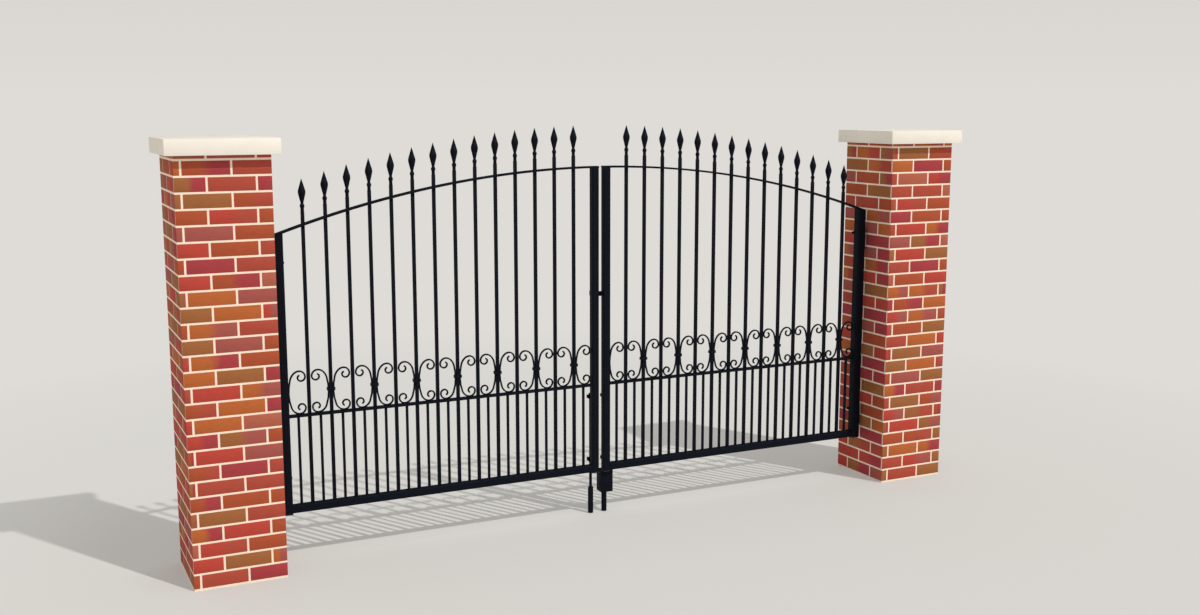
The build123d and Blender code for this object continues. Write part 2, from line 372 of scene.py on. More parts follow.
@dataclass(frozen=True)
class IronPaint:
    """Black satin paint brushed and sprayed on iron."""

    name: str = "iron_paint"
    deep: Colour = linear(4, 9, 22)
    dusty: Colour = linear(13, 18, 29)
    dust: Noise = Noise(14.0, 4.0, 0.6)
    dust_band: Band = (0.48, 0.78, 0.0, 0.35)
    peel: Noise = Noise(900.0, 2.0)
    peel_relief: Relief = (0.00006, 0.3)
    waves: Noise = Noise(60.0)
    waves_relief: Relief = (0.0003, 0.3)
    rough: Band = (*NOISE_RANGE, 0.54, 0.7)
    rough_upward: float = 0.95
    shine: float = 0.11

    def material(self) -> bpy.types.Material:
        """Make the paint, with orange peel and faint dust, and duller where it faces the sky.

        Returns:
            The material.
        """
        shader = Surface(self.name)
        place = shader.place()
        dust = shader.noise(place, self.dust).spread(*self.dust_band)
        peel = shader.noise(place, self.peel)
        waves = shader.noise(place, self.waves)
        rough = waves.spread(*self.rough)
        return shader.dress(
            Base_Color=shader.mix(dust, self.deep, self.dusty),
            Roughness=rough + shader.upward() * (self.rough_upward - rough),
            Specular_IOR_Level=self.shine,
            Normal=shader.relief((peel, self.peel_relief), (waves, self.waves_relief)),
        )


@dataclass(frozen=True)
class PlugPlastic:
    """Moulded plastic of the plugs in the stiles' feet."""

    name: str = "plug_plastic"
    colour: Colour = linear(10, 10, 12)
    grain: Noise = Noise(1600.0, 2.0)
    grain_relief: Relief = (0.00008, 0.6)
    rough: Band = (*NOISE_RANGE, 0.5, 0.62)

    def material(self) -> bpy.types.Material:
        """Make the plastic, with a fine moulded grain.

        Returns:
            The material.
        """
        shader = Surface(self.name)
        grain = shader.noise(shader.place(), self.grain)
        normal = shader.relief((grain, self.grain_relief))
        return shader.dress(Base_Color=self.colour, Roughness=grain.spread(*self.rough), Normal=normal)


@dataclass(frozen=True)
class FiredBrick:
    """Smooth facing brick, each in its own clay that may turn into another from end to end."""

    name: str = "fired_brick"
    fleck: Colour = linear(96, 40, 34)
    sand: Colour = linear(208, 130, 96)
    turn: Band = (0.38, 0.62, 0.0, 1.0)
    cloud: Noise = Noise(34.0)
    cloud_turn: Band = (0.0, 1.0, -0.1, 0.1)
    drag: Noise = Noise(22.0, 4.0, 0.6)
    drag_stretch: Triple = (1, 1, 9)
    drag_band: Band = (0.45, 0.8, 0.0, 0.22)
    drag_relief: Relief = (0.0008, 0.4)
    grain: Noise = Noise(700.0, 3.0, 0.7)
    grain_relief: Relief = (0.0004, 0.5)
    sand_band: Band = (0.6, 0.78, 0.0, 0.2)
    fleck_band: Band = (0.4, 0.26, 0.0, 0.3)
    rough: Band = (*NOISE_RANGE, 0.78, 0.92)
    shine: float = 0.25

    def material(self) -> bpy.types.Material:
        """Make the clay from the two colours and the run that each brick carries.

        Returns:
            The material.
        """
        shader = Surface(self.name)
        near, far = [shader.attribute(name, "Color") for name in (Masonry.NEAR, Masonry.FAR)]
        run = shader.attribute(Masonry.RUN, "Fac")
        place = shader.place()
        drag = shader.noise(shader.place(self.drag_stretch), self.drag)
        cloud = shader.noise(place, self.cloud)
        grain = shader.noise(place, self.grain)
        colour = shader.mix((run + cloud.spread(*self.cloud_turn)).spread(*self.turn), near, far)
        colour = shader.mix(drag.spread(*self.drag_band), colour, self.fleck)
        colour = shader.mix(grain.spread(*self.sand_band), colour, self.sand)
        return shader.dress(
            Base_Color=shader.mix(grain.spread(*self.fleck_band), colour, self.fleck),
            Roughness=cloud.spread(*self.rough),
            Specular_IOR_Level=self.shine,
            Normal=shader.relief((grain, self.grain_relief), (drag, self.drag_relief)),
        )


@dataclass(frozen=True)
class LimeMortar:
    """Pale sandy mortar, struck almost flush with the bricks."""

    name: str = "lime_mortar"
    pale: Colour = linear(250, 229, 207)
    sandy: Colour = linear(230, 206, 186)
    sand: Noise = Noise(1100.0, 3.0, 0.7)
    sand_band: Band = (0.42, 0.66, 0.0, 0.35)
    sand_relief: Relief = (0.0003, 0.6)
    patches: Noise = Noise(18.0, 4.0)
    patches_band: Band = (0.5, 0.75, 0.0, 0.3)
    patches_relief: Relief = (0.0006, 0.3)
    rough: float = 0.92

    def material(self) -> bpy.types.Material:
        """Make the mortar, with sand in its colour and its surface.

        Returns:
            The material.
        """
        shader = Surface(self.name)
        place = shader.place()
        sand = shader.noise(place, self.sand)
        patches = shader.noise(place, self.patches)
        share = sand.spread(*self.sand_band) + patches.spread(*self.patches_band)
        return shader.dress(
            Base_Color=shader.mix(share, self.pale, self.sandy),
            Roughness=self.rough,
            Normal=shader.relief((sand, self.sand_relief), (patches, self.patches_relief)),
        )


@dataclass(frozen=True)
class CastStone:
    """Cream cast stone of the pier caps."""

    name: str = "cast_stone"
    cream: Colour = linear(243, 235, 223)
    shade: Colour = linear(228, 219, 203)
    # Painted shade: a greyer tone laid on the faces that look at the sky, darkening the sunlit top
    top_painted_shade: Colour = linear(214, 207, 195)
    clouds: Noise = Noise(7.0, 5.0, 0.55)
    clouds_band: Band = (0.45, 0.75, 0.0, 0.35)
    grit: Noise = Noise(800.0, 3.0, 0.7)
    grit_band: Band = (0.5, 0.75, 0.0, 0.25)
    grit_relief: Relief = (0.0003, 0.5)
    hole_scale: float = 160.0
    hole_band: Band = (0.12, 0.05, 0.0, 1.0)
    # How far the pinholes are darkened towards the shade tone: painted shade in the dents
    hole_painted_shade: float = 0.3
    hole_relief: Relief = (0.0006, 0.4)
    # How the clouds break up the painted shade on the top faces
    top_shade_band: Band = (*NOISE_RANGE, 0.65, 1.0)
    rough: Band = (*NOISE_RANGE, 0.8, 0.9)

    def material(self) -> bpy.types.Material:
        """Make the stone, with fine grit, soft clouds and pinholes darkened with painted shade, and greyer on
        its top with painted shade where it faces the sky.

        Returns:
            The material.
        """
        shader = Surface(self.name)
        place = shader.place()
        clouds = shader.noise(place, self.clouds)
        grit = shader.noise(place, self.grit)
        cells = {"Vector": place, "Scale": self.hole_scale}
        holes = shader.wire("ShaderNodeTexVoronoi", None, cells, "Distance").spread(*self.hole_band)
        # Painted shade on the faces that look at the sky, patchy with the clouds
        top_shade_mask = shader.upward() * clouds.spread(*self.top_shade_band)
        share = clouds.spread(*self.clouds_band) + grit.spread(*self.grit_band)
        colour = shader.mix(share, self.cream, self.shade)
        # Painted shade in the pinholes
        colour = shader.mix(holes * self.hole_painted_shade, colour, self.shade)
        return shader.dress(
            Base_Color=shader.mix(top_shade_mask, colour, self.top_painted_shade),
            Roughness=clouds.spread(*self.rough),
            Normal=shader.relief((grit, self.grit_relief), (1 - holes, self.hole_relief)),
        )


class Finishes:
    """The finished materials, each made once."""

    def __init__(self) -> None:
        """Make every material."""
        self.iron = IronPaint().material()
        self.fittings = IronPaint(
            name="fitting_black",
            deep=linear(5, 5, 8),
            dusty=linear(11, 12, 15),
            rough=(*NOISE_RANGE, 0.64, 0.8),
            shine=0.04,
        ).material()
        self.plastic = PlugPlastic().material()
        self.brick = FiredBrick().material()
        self.mortar = LimeMortar().material()
        self.stone = CastStone().material()


# Meshes and objects

def edges_of(verts: Iterable[bmesh.types.BMVert]) -> list[bmesh.types.BMEdge]:
    """Every edge that meets one of some corners, once."""
    return list(dict.fromkeys(edge for vert in verts for edge in vert.link_edges))


def faces_of(verts: Iterable[bmesh.types.BMVert]) -> list[bmesh.types.BMFace]:
    """Every face that meets one of some corners, once."""
    return list(dict.fromkeys(face for vert in verts for face in vert.link_faces))


def edges_along(verts: Iterable[bmesh.types.BMVert], axis: Axis) -> list[bmesh.types.BMEdge]:
    """Find the edges at some corners that run along an axis.

    Args:
        verts: the corners.
        axis: the axis.

    Returns:
        The edges.
    """
    found = []
    for edge in edges_of(verts):
        first, second = [vert.co for vert in edge.verts]
        if (first - second).cross(axis.way).length < MERGE_DISTANCE:
            found.append(edge)
    return found


def only(kind: type, made: Elements) -> list:
    """Those of some elements that are of one kind."""
    return [item for item in made if isinstance(item, kind)]


def add_object(name: str, data: bpy.types.ID) -> bpy.types.Object:
    """Put a mesh, a lamp or a camera in the scene.

    Args:
        name: the object's name.
        data: what it shows.

    Returns:
        The object.
    """
    made = bpy.data.objects.new(name, data)
    bpy.context.scene.collection.objects.link(made)
    return made


def paint(node: str, material: bpy.types.Material) -> None:
    """Give a CAD node that stays in view its finish.

    Args:
        node: the node's name.
        material: its material.
    """
    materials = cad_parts[node].data.materials
    materials.clear()
    materials.append(material)


class Piece:
    """A mesh under way, which becomes one named object."""

    def __init__(self, name: str) -> None:
        """Start an empty mesh."""
        self.name = name
        self.bm = bmesh.new()

    def since(self, old: set[bmesh.types.BMVert]) -> list[bmesh.types.BMVert]:
        """The corners that are newer than the old ones."""
        return [vert for vert in self.bm.verts if vert not in old]

    def face_outwards(self, verts: Iterable[bmesh.types.BMVert]) -> None:
        """Point the faces at some corners outwards."""
        bmesh.ops.recalc_face_normals(self.bm, faces=faces_of(verts))

    def close(self) -> None:
        """Merge doubles, drop walls left inside and point every face outwards."""
        bmesh.ops.remove_doubles(self.bm, verts=self.bm.verts, dist=MERGE_DISTANCE)
        inside = [face for face in self.bm.faces if all(len(edge.link_faces) > 2 for edge in face.edges)]
        bmesh.ops.delete(self.bm, geom=inside, context="FACES_KEEP_BOUNDARY")
        self.face_outwards(self.bm.verts)

    def bevel(
        self, geom: Elements, width: float, segments: int = 2, affect: str = "EDGES"
    ) -> list[bmesh.types.BMVert]:
        """Round some edges or corners over.

        Args:
            geom: the edges or corners.
            width: how far from them the rounding starts.
            segments: how many flats it has.
            affect: EDGES or VERTICES.

        Returns:
            The corners that this makes.
        """
        return bmesh.ops.bevel(
            self.bm,
            geom=geom,
            offset=width,
            offset_type="OFFSET",
            affect=affect,
            segments=segments,
            profile=0.5,
            material=-1,
        )["verts"]

    def spin(
        self, geom: Elements, centre: Sequence[float], axis: Sequence[float], angle: float, steps: int
    ) -> Elements:
        """Sweep corners, edges or a face round an axis. A whole turn closes on itself.

        Args:
            geom: what is swept.
            centre: a point on the axis.
            axis: the axis's way.
            angle: how far the sweep goes.
            steps: how many flats it has.

        Returns:
            What lies at the end of the sweep.
        """
        return bmesh.ops.spin(
            self.bm,
            geom=geom,
            cent=centre,
            axis=axis,
            angle=angle,
            steps=steps,
            use_merge=angle == math.tau,
            use_duplicate=False,
        )["geom_last"]

    def section(self, matrix: Matrix, width: float, segments: int = 2) -> Elements:
        """Add a flat section with rounded corners, to be swept.

        Args:
            matrix: what sizes and places the square of 1 by 1 that it starts from.
            width: how far its corners are rounded over.
            segments: how many flats each of them has.

        Returns:
            Its corners, edges and face.
        """
        square = bmesh.ops.create_grid(self.bm, x_segments=1, y_segments=1, size=0.5, matrix=matrix)["verts"]
        ring = self.bevel(square, width, segments, "VERTICES")
        return [*ring, *edges_of(ring), *faces_of(ring)]

    def cube(self, low: Sequence[float], high: Sequence[float]) -> list[bmesh.types.BMVert]:
        """Add a box with sharp edges.

        Args:
            low: its lowest corner.
            high: its highest corner.

        Returns:
            Its corners.
        """
        low, high = Vector(low), Vector(high)
        matrix = Matrix.Translation((low + high) / 2) @ Matrix.Diagonal((*(high - low), 1.0))
        return bmesh.ops.create_cube(self.bm, size=1.0, matrix=matrix)["verts"]

    def block(self, low: Sequence[float], high: Sequence[float], width: float) -> None:
        """Add a box with all its edges rounded over."""
        self.bevel(edges_of(self.cube(low, high)), width)

    def sleeve(
        self,
        low: Sequence[float],
        high: Sequence[float],
        bore: tuple[float, float, float, float],
        width: float,
    ) -> None:
        """Add a box with a square bore from its foot to its top.

        Args:
            low: the box's lowest corner.
            high: its highest corner.
            bore: the bore's least and greatest X, then its least and greatest Y.
            width: how far the box's outer edges are rounded over.
        """
        left, right, front, rear = bore
        outer = self.cube(low, high)
        verts = [*outer, *self.cube((left, front, low[2]), (right, rear, high[2]))]
        ends = [face for face in faces_of(verts) if abs(face.normal.z) > LEVEL]
        bmesh.ops.delete(self.bm, geom=ends, context="FACES_ONLY")
        for level in (low[2], high[2]):
            rim = {vert for vert in verts if abs(vert.co.z - level) < MERGE_DISTANCE}
            around = [edge for edge in edges_of(verts) if rim.issuperset(edge.verts)]
            bmesh.ops.bridge_loops(self.bm, edges=around)
        self.face_outwards(verts)
        self.bevel([edge for edge in edges_of(outer) if edge.calc_face_angle() > BOX_EDGE_ANGLE], width)

    def rod(
        self,
        foot: Sequence[float],
        radius: float,
        height: float,
        sides: int,
        width: float = 0.0,
        axis: Axis = Axis.Z,
    ) -> None:
        """Add a round rod.

        Args:
            foot: the centre of its first end.
            radius: its radius.
            height: its length along the axis.
            sides: how many flats go round it.
            width: how far its two rims are rounded over.
            axis: the axis that it runs along.
        """
        made = bmesh.ops.create_cone(
            self.bm,
            cap_ends=True,
            cap_tris=False,
            segments=sides,
            radius1=radius,
            radius2=radius,
            depth=height,
            matrix=Matrix.Translation(foot) @ axis.turn @ Matrix.Translation((0, 0, height / 2)),
        )["verts"]
        if width:
            caps = [face for face in faces_of(made) if len(face.verts) == sides]
            self.bevel([edge for face in caps for edge in face.edges], width)

    def plate(self, outline: Iterable[Sequence[float]], depth: Sequence[float], width: float) -> None:
        """Add a flat plate.

        Args:
            outline: its corners, in order.
            depth: the way from this face to the other.
            width: how far its edges are rounded over.
        """
        verts = [self.bm.verts.new(corner) for corner in outline]
        made = bmesh.ops.extrude_face_region(self.bm, geom=[self.bm.faces.new(verts)])["geom"]
        rear = only(bmesh.types.BMVert, made)
        bmesh.ops.translate(self.bm, vec=depth, verts=rear)
        self.face_outwards([*verts, *rear])
        self.bevel(edges_of([*verts, *rear]), width, segments=1)

    def tube(self, foot: Vector, radius: float, bore: float, height: float, sides: int) -> None:
        """Add an upright tube, turned about its own axis.

        Args:
            foot: the centre of its foot.
            radius: its outer radius.
            bore: its inner radius.
            height: its height.
            sides: how many flats go round it.
        """
        old = set(self.bm.verts)
        corners = ((radius, 0), (radius, height), (bore, height), (bore, 0))
        verts = [self.bm.verts.new(foot + Vector((x, 0, z))) for x, z in corners]
        edges = [self.bm.edges.new(pair) for pair in zip(verts, [*verts[1:], verts[0]])]
        self.spin([*verts, *edges], foot, Axis.Z.way, math.tau, sides)
        self.face_outwards(self.since(old))

    def trim(self, x: float, way: int) -> None:
        """Cut off what lies past an upright plane and close the cut.

        Args:
            x: the plane's X.
            way: the sign of X on the side that goes.
        """
        made = bmesh.ops.bisect_plane(
            self.bm,
            geom=[*self.bm.verts, *self.bm.edges, *self.bm.faces],
            dist=MERGE_DISTANCE,
            plane_co=(x, 0, 0),
            plane_no=(way, 0, 0),
            clear_outer=True,
        )
        bmesh.ops.holes_fill(self.bm, edges=only(bmesh.types.BMEdge, made["geom_cut"]), sides=0)
        self.face_outwards(self.bm.verts)

    def stamp(self, mesh: bpy.types.Mesh, matrix: Matrix) -> None:
        """Add a copy of a finished mesh.

        Args:
            mesh: the mesh.
            matrix: what moves the copy to its place.
        """
        old = set(self.bm.verts)
        self.bm.from_mesh(mesh)
        fresh = self.since(old)
        bmesh.ops.transform(self.bm, matrix=matrix, verts=fresh)
        if matrix.determinant() < 0:
            bmesh.ops.reverse_faces(self.bm, faces=faces_of(fresh))

    def mesh(self) -> bpy.types.Mesh:
        """End the work.

        Returns:
            The bare mesh.
        """
        mesh = bpy.data.meshes.new(self.name)
        self.bm.to_mesh(mesh)
        self.bm.free()
        return mesh

    def finish(self, body: str, slot: str, material: bpy.types.Material, *nodes: str) -> None:
        """End the work and put the piece in the scene.

        Args:
            body: the body that the piece rides on.
            slot: the record's material slot for the piece; not used.
            material: its material.
            nodes: the frame's nodes that it stands for.
        """
        mesh = self.mesh()
        for polygon in mesh.polygons:
            polygon.use_smooth = True
        mesh.set_sharp_from_angle(angle=SMOOTH_ANGLE)
        mesh.materials.append(material)
        piece = add_object(self.name, mesh)
        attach(piece, body)
        if nodes:
            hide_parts(*nodes)
        log.info("%s: %d faces on %s", self.name, len(mesh.polygons), body)


# The piers

@dataclass
class Masonry:
    """One pier, laid course by course in bricks, under its cap."""

    side: Side
    finishes: Finishes
    brick_length: float = 0.215
    brick_height: float = 0.065
    joint: float = 0.010
    arris: float = 0.0006
    cap_arris: float = 0.0015

    # How deep the bricks go behind their faces, and how far the mortar lies behind them
    slip: float = 0.028
    recess: float = 0.0006

    # Share of the bricks that turn from one clay into another
    turn_share: float = 0.28

    # Length of the cut brick that begins every other course, on the side faces and on the others
    side_start: float = 0.093
    FRONT_STARTS = {Side.LEFT: 0.027, Side.RIGHT: 0.037}

    # How often each clay comes, and the clays at the two ends of a brick that turns
    CLAY_WEIGHTS = (4, 4, 5, 2, 4, 1, 3, 3)
    WARM_ENDS = (Clay.ORANGE, Clay.RUST, Clay.OCHRE, Clay.SCARLET)
    COOL_ENDS = (Clay.CRIMSON, Clay.ROSE, Clay.BRICK_RED)

    # Names of the colours at a brick's two ends, and of the share of the way between them
    NEAR = "clay_near"
    FAR = "clay_far"
    RUN = "clay_run"

    def __post_init__(self) -> None:
        """Take the pier's place from the frame."""
        self.low, self.high = self.side.box("pier")
        self.width = self.high.x - self.low.x
        self.random = random.Random(f"clay {self.side.value}")

    def build(self) -> None:
        """Lay the pier and set its cap."""
        self.lay_bricks()
        self.fill_joints()
        self.set_cap()

    def course_pieces(self, start: float, course: int) -> list[tuple[float, float]]:
        """Find where the bricks of one course lie along a face.

        Args:
            start: length of the cut brick that begins every other course.
            course: the course's number, from the ground.

        Returns:
            The two ends of each brick, measured from the face's first corner.
        """
        pitch = self.brick_length + self.joint
        cut = start + (course % 2) * pitch / 2
        joints = []
        while cut < self.width:
            joints.append(cut)
            cut += pitch
        firsts = [0.0, *[place + self.joint for place in joints]]
        lasts = [*joints, self.width]
        return [(first, last) for first, last in zip(firsts, lasts) if last > first]

    def lay_bricks(self) -> None:
        """Lay every course round the four faces, each brick in its own clay."""
        piece = Piece(self.side.node("pier_bricks"))
        layers = piece.bm.loops.layers
        near, far = [layers.float_color.new(name) for name in (self.NEAR, self.FAR)]
        run = layers.float.new(self.RUN)
        middle = (self.low + self.high) / 2
        upright = Matrix.Translation((middle.x, middle.y, 0))
        pitch = self.brick_height + self.joint
        front_start = self.FRONT_STARTS[self.side]
        for quarter, start in enumerate((front_start, self.side_start) * 2):
            turn = upright @ Matrix.Rotation(quarter * math.pi / 2, 4, "Z")
            for course in range(int(self.high.z / pitch) + 1):
                foot = self.joint + course * pitch
                top = min(foot + self.brick_height, self.high.z)
                for ends in self.course_pieces(start, course):
                    brick = self.lay_one(piece, turn, ends, (foot, top))
                    self.tint(brick, turn, near, far, run)
        piece.finish("posts", "brick", self.finishes.brick, self.side.node("pier"))

    def lay_one(
        self, piece: Piece, turn: Matrix, ends: tuple[float, float], levels: tuple[float, float]
    ) -> list[bmesh.types.BMFace]:
        """Lay one brick on a face, mitred where it meets the pier's corner.

        Args:
            piece: the mesh that the brick joins.
            turn: the face's place.
            ends: where the brick starts and ends, from the face's first corner.
            levels: the heights of its bed and its top.

        Returns:
            The brick's faces.
        """
        half = self.width / 2
        (first, last), (foot, top) = ends, levels
        verts = piece.cube((first - half, -half, foot), (last - half, self.slip - half, top))
        middle = (first + last) / 2 - half
        for vert in verts:
            if vert.co.y > -half + self.slip / 2:
                if first == 0.0 and vert.co.x < middle:
                    vert.co.x += self.slip
                if last == self.width and vert.co.x > middle:
                    vert.co.x -= self.slip
        bmesh.ops.transform(piece.bm, matrix=turn, verts=verts)
        return faces_of(piece.bevel(edges_of(verts), self.arris))

    def choose_clays(self) -> tuple[Clay, Clay]:
        """Draw a brick's clay, or two where it turns.

        Returns:
            The clays at its two ends.
        """
        clay = self.random.choices(list(Clay), self.CLAY_WEIGHTS)[0]
        if self.random.random() < self.turn_share:
            return self.random.choice(self.WARM_ENDS), self.random.choice(self.COOL_ENDS)
        return clay, clay

    def tint(
        self,
        faces: list[bmesh.types.BMFace],
        turn: Matrix,
        near: bmesh.types.BMLayerItem,
        far: bmesh.types.BMLayerItem,
        run: bmesh.types.BMLayerItem,
    ) -> None:
        """Write a brick's two clays, and how far along it each corner lies, into its faces.

        Args:
            faces: the brick's faces.
            turn: the place of the pier's face that it lies on.
            near: the layer of the clay at its first end.
            far: the layer of the clay at its last end.
            run: the layer of the share of the way between them.
        """
        home = turn.inverted()
        places = [(home @ vert.co).x for face in faces for vert in face.verts]
        low, high = min(places), max(places)
        clay, other = self.choose_clays()
        for loop in [loop for face in faces for loop in face.loops]:
            loop[near] = clay.value
            loop[far] = other.value
            loop[run] = ((home @ loop.vert.co).x - low) / (high - low)

    def fill_joints(self) -> None:
        """Fill behind and between the bricks with mortar."""
        piece = Piece(self.side.node("pier_mortar"))
        inset = Vector((self.recess, self.recess, 0))
        verts = piece.cube(self.low + inset, self.high - inset)
        piece.bevel(edges_along(verts, Axis.Z), self.recess, segments=1)
        piece.finish("posts", "brick", self.finishes.mortar)

    def set_cap(self) -> None:
        """Set the slab on the pier, with its edges softened."""
        piece = Piece(self.side.node("cap_slab"))
        piece.block(*self.side.box("cap"), self.cap_arris)
        piece.finish("posts", "cap_stone", self.finishes.stone, self.side.node("cap"))


# The leaves

def flat_thickness() -> float:
    """Thickness of the flat bar of the middle and top rails."""
    low, high = Side.LEFT.box("middle_rail")
    return high.z - low.z


@dataclass(frozen=True)
class Arch:
    """The curve of the top rails: one circle over both leaves."""

    middle: float
    centre: float
    radius: float

    @classmethod
    def from_frame(cls) -> "Arch":
        """Work the circle out from the two top rails' boxes.

        Returns:
            The curve.
        """
        left_low, left_high = Side.LEFT.box("top_rail")
        right_high = Side.RIGHT.box("top_rail")[1]
        thickness = flat_thickness()
        half_span = (right_high.x - left_low.x) / 2
        fall = left_high.z - left_low.z
        radius = (half_span**2 + fall**2 - thickness**2) / (2 * (fall - thickness))
        return cls((left_low.x + right_high.x) / 2, left_high.z - radius, radius)

    def height(self, x: float, depth: float = 0.0) -> float:
        """Height of the curve at x, this far in from the rail's top."""
        return self.centre + math.sqrt((self.radius - depth) ** 2 - (x - self.middle) ** 2)


@dataclass
class Ironwork:
    """One leaf: its frame, bars, finials and scrolls."""

    side: Side
    finishes: Finishes
    arch: Arch
    bars_per_leaf: int = 14
    edge: float = 0.0005
    weld: float = 0.0025
    arch_steps: int = 72

    # Wall and outer corners of the box sections, and how far up the stiles are open at the foot
    tube_wall: float = 0.003
    tube_corner: float = 0.005
    tube_corner_steps: int = 4
    tube_hollow: float = 0.030

    # Height of a spear's own foot over the top rail's middle, and the length of its stem below that
    finial_reach: float = 0.079
    finial_stem: float = 0.016
    finial_sides: int = 28
    finial_corner_steps: int = 5

    # How far the scrolls stay clear of the rail and the bars
    scroll_seat: float = 0.0002
    collar_wall: float = 0.0032
    collar_edge: float = 0.0012

    # Radius and height of each corner of the spear, and how far along its sides the corner is rounded
    FINIAL_OUTLINE = (
        (0, 0.147, 0),
        (0.020, 0.081, 0.010),
        (0.0067, 0.0255, 0.002),
        (0.013, 0.0123, 0.006),
        (0.0086, 0.002, 0.0015),
        (0.0086, -0.016, 0),
        (0, -0.016, 0),
    )

    # Radius of each arc of a scroll, in gaps between bars, and its turn in degrees, up and down
    UPPER_ARCS = ((3.021, 14), (0.625, 38), (0.396, 38), (0.3125, 90), (0.2135, 90), (0.177, 90), (0.125, 80))
    LOWER_ARCS = (
        (2.344, 18.9), (0.521, 35.1), (0.4167, 36), (0.302, 90), (0.2083, 90), (0.177, 90), (0.1146, 80)
    )
    DEGREES_PER_STEP = 9.0

    def __post_init__(self) -> None:
        """Take the leaf's main places from the frame."""
        low, high = self.side.box("bars")
        self.rail = self.side.box("middle_rail")
        self.bar = high.y - low.y
        self.bar_foot = low.z
        pitch = (high.x - low.x - self.bar) / (self.bars_per_leaf - 1)
        self.gap = pitch - self.bar
        self.bar_places = [low.x + self.bar / 2 + index * pitch for index in range(self.bars_per_leaf)]
        first_gap = self.rail[0].x + self.gap / 2
        self.gap_places = [first_gap + index * pitch for index in range(self.bars_per_leaf + 1)]

    def build(self) -> None:
        """Make every piece of the leaf."""
        self.make_stiles()
        self.make_bottom_rail()
        self.make_middle_rail()
        self.make_top_rail()
        self.make_bars()
        self.make_dog_bars()
        self.make_finials()
        self.make_scrolls()
        self.make_collars()

    def finish(self, piece: Piece, node: str) -> None:
        """Paint a piece and hang it on this leaf, in the place of its node."""
        piece.finish(self.side.leaf, "iron", self.finishes.iron, self.side.node(node))

    def make_stiles(self) -> None:
        """Make the two box uprights, open at the foot round their plugs."""
        for kind in ("hinge_stile", "meeting_stile"):
            piece = Piece(self.side.node(f"{kind}_tube"))
            verts = piece.cube(*self.side.box(kind))
            for vert in verts:
                if vert.co.z > self.bar_foot:
                    vert.co.z = self.arch.height(vert.co.x, flat_thickness())
            piece.bevel(edges_along(verts, Axis.Z), self.tube_corner, self.tube_corner_steps)
            feet = [face for face in piece.bm.faces if face.normal.z < -LEVEL]
            rim = bmesh.ops.inset_region(piece.bm, faces=feet, thickness=self.tube_wall)["faces"]
            feet = [face for face in piece.bm.faces if face.normal.z < -LEVEL and face not in rim]
            made = bmesh.ops.extrude_face_region(piece.bm, geom=feet)["geom"]
            bmesh.ops.delete(piece.bm, geom=feet, context="FACES_KEEP_BOUNDARY")
            inner = only(bmesh.types.BMVert, made)
            bmesh.ops.translate(piece.bm, vec=(0, 0, self.tube_hollow), verts=inner)
            self.finish(piece, kind)
        paint(self.side.node("stile_plugs"), self.finishes.plastic)

    def make_bottom_rail(self) -> None:
        """Make the box rail at the leaf's foot."""
        piece = Piece(self.side.node("bottom_rail_tube"))
        verts = piece.cube(*self.side.box("bottom_rail"))
        piece.bevel(edges_along(verts, Axis.X), self.tube_corner, self.tube_corner_steps)
        self.finish(piece, "bottom_rail")

    def make_middle_rail(self) -> None:
        """Make the flat rail that the scrolls stand on."""
        piece = Piece(self.side.node("middle_rail_flat"))
        piece.block(*self.rail, self.edge)
        self.finish(piece, "middle_rail")

    def make_top_rail(self) -> None:
        """Bend the flat top rail round the arch, a little too long, and cut its ends upright."""
        low, high = self.side.box("top_rail")
        arch, thickness = self.arch, flat_thickness()
        inside = arch.radius - 2 * thickness
        start, end = [math.asin((x - arch.middle) / inside) for x in (low.x, high.x)]
        piece = Piece(self.side.node("top_rail_flat"))
        shape = (
            Matrix.Translation((arch.middle, 0, arch.centre + arch.radius - thickness / 2))
            @ Matrix.Rotation(math.pi / 2, 4, "Y")
            @ Matrix.Diagonal((thickness, high.y - low.y, 1, 1))
        )
        section = piece.section(shape, self.edge)
        centre = Vector((arch.middle, 0, arch.centre))
        bmesh.ops.rotate(piece.bm, verts=piece.bm.verts, cent=centre, matrix=Matrix.Rotation(start, 3, "Y"))
        piece.spin(section, centre, Axis.Y.way, end - start, self.arch_steps)
        piece.close()
        piece.trim(low.x, -1)
        piece.trim(high.x, 1)
        self.finish(piece, "top_rail")

    def finial_foot(self, x: float) -> float:
        """Height at which the bar at x ends and its finial starts."""
        return self.arch.height(x, flat_thickness() / 2) + self.finial_reach

    def add_weld(self, piece: Piece, x: float, half: float, foot: float, up: int = 1) -> None:
        """Add the weld round a square bar where it meets a rail.

        Args:
            piece: the mesh that the weld joins.
            x: the bar's middle.
            half: half its width.
            foot: height of the rail's face.
            up: 1 on top of a rail and -1 below one.
        """
        radii = [(half + self.weld) * math.sqrt(2), half * math.sqrt(2)][::up]
        matrix = Matrix.Translation((x, 0, foot + up * self.weld / 2)) @ Matrix.Rotation(math.pi / 4, 4, "Z")
        bmesh.ops.create_cone(
            piece.bm,
            cap_ends=True,
            segments=4,
            radius1=radii[0],
            radius2=radii[1],
            depth=self.weld,
            matrix=matrix,
        )

    def add_bar(self, piece: Piece, x: float, half: float, foot: float, top: float) -> None:
        """Add a square bar that stands on a rail, with its weld."""
        piece.block((x - half, -half, foot), (x + half, half, top), self.edge)
        self.add_weld(piece, x, half, foot)

    def make_bars(self) -> None:
        """Make the long bars, which pass through the upper rails."""
        piece = Piece(self.side.node("bars_square"))
        for x in self.bar_places:
            self.add_bar(piece, x, self.bar / 2, self.bar_foot, self.finial_foot(x) - self.finial_stem)
        self.finish(piece, "bars")

    def make_dog_bars(self) -> None:
        """Make the short bars below the middle rail, welded to it too."""
        low, high = self.side.box("dog_bars")
        half = (high.y - low.y) / 2
        piece = Piece(self.side.node("dog_bars_square"))
        for x in self.gap_places:
            self.add_bar(piece, x, half, low.z, high.z)
            self.add_weld(piece, x, half, high.z, -1)
        self.finish(piece, "dog_bars")

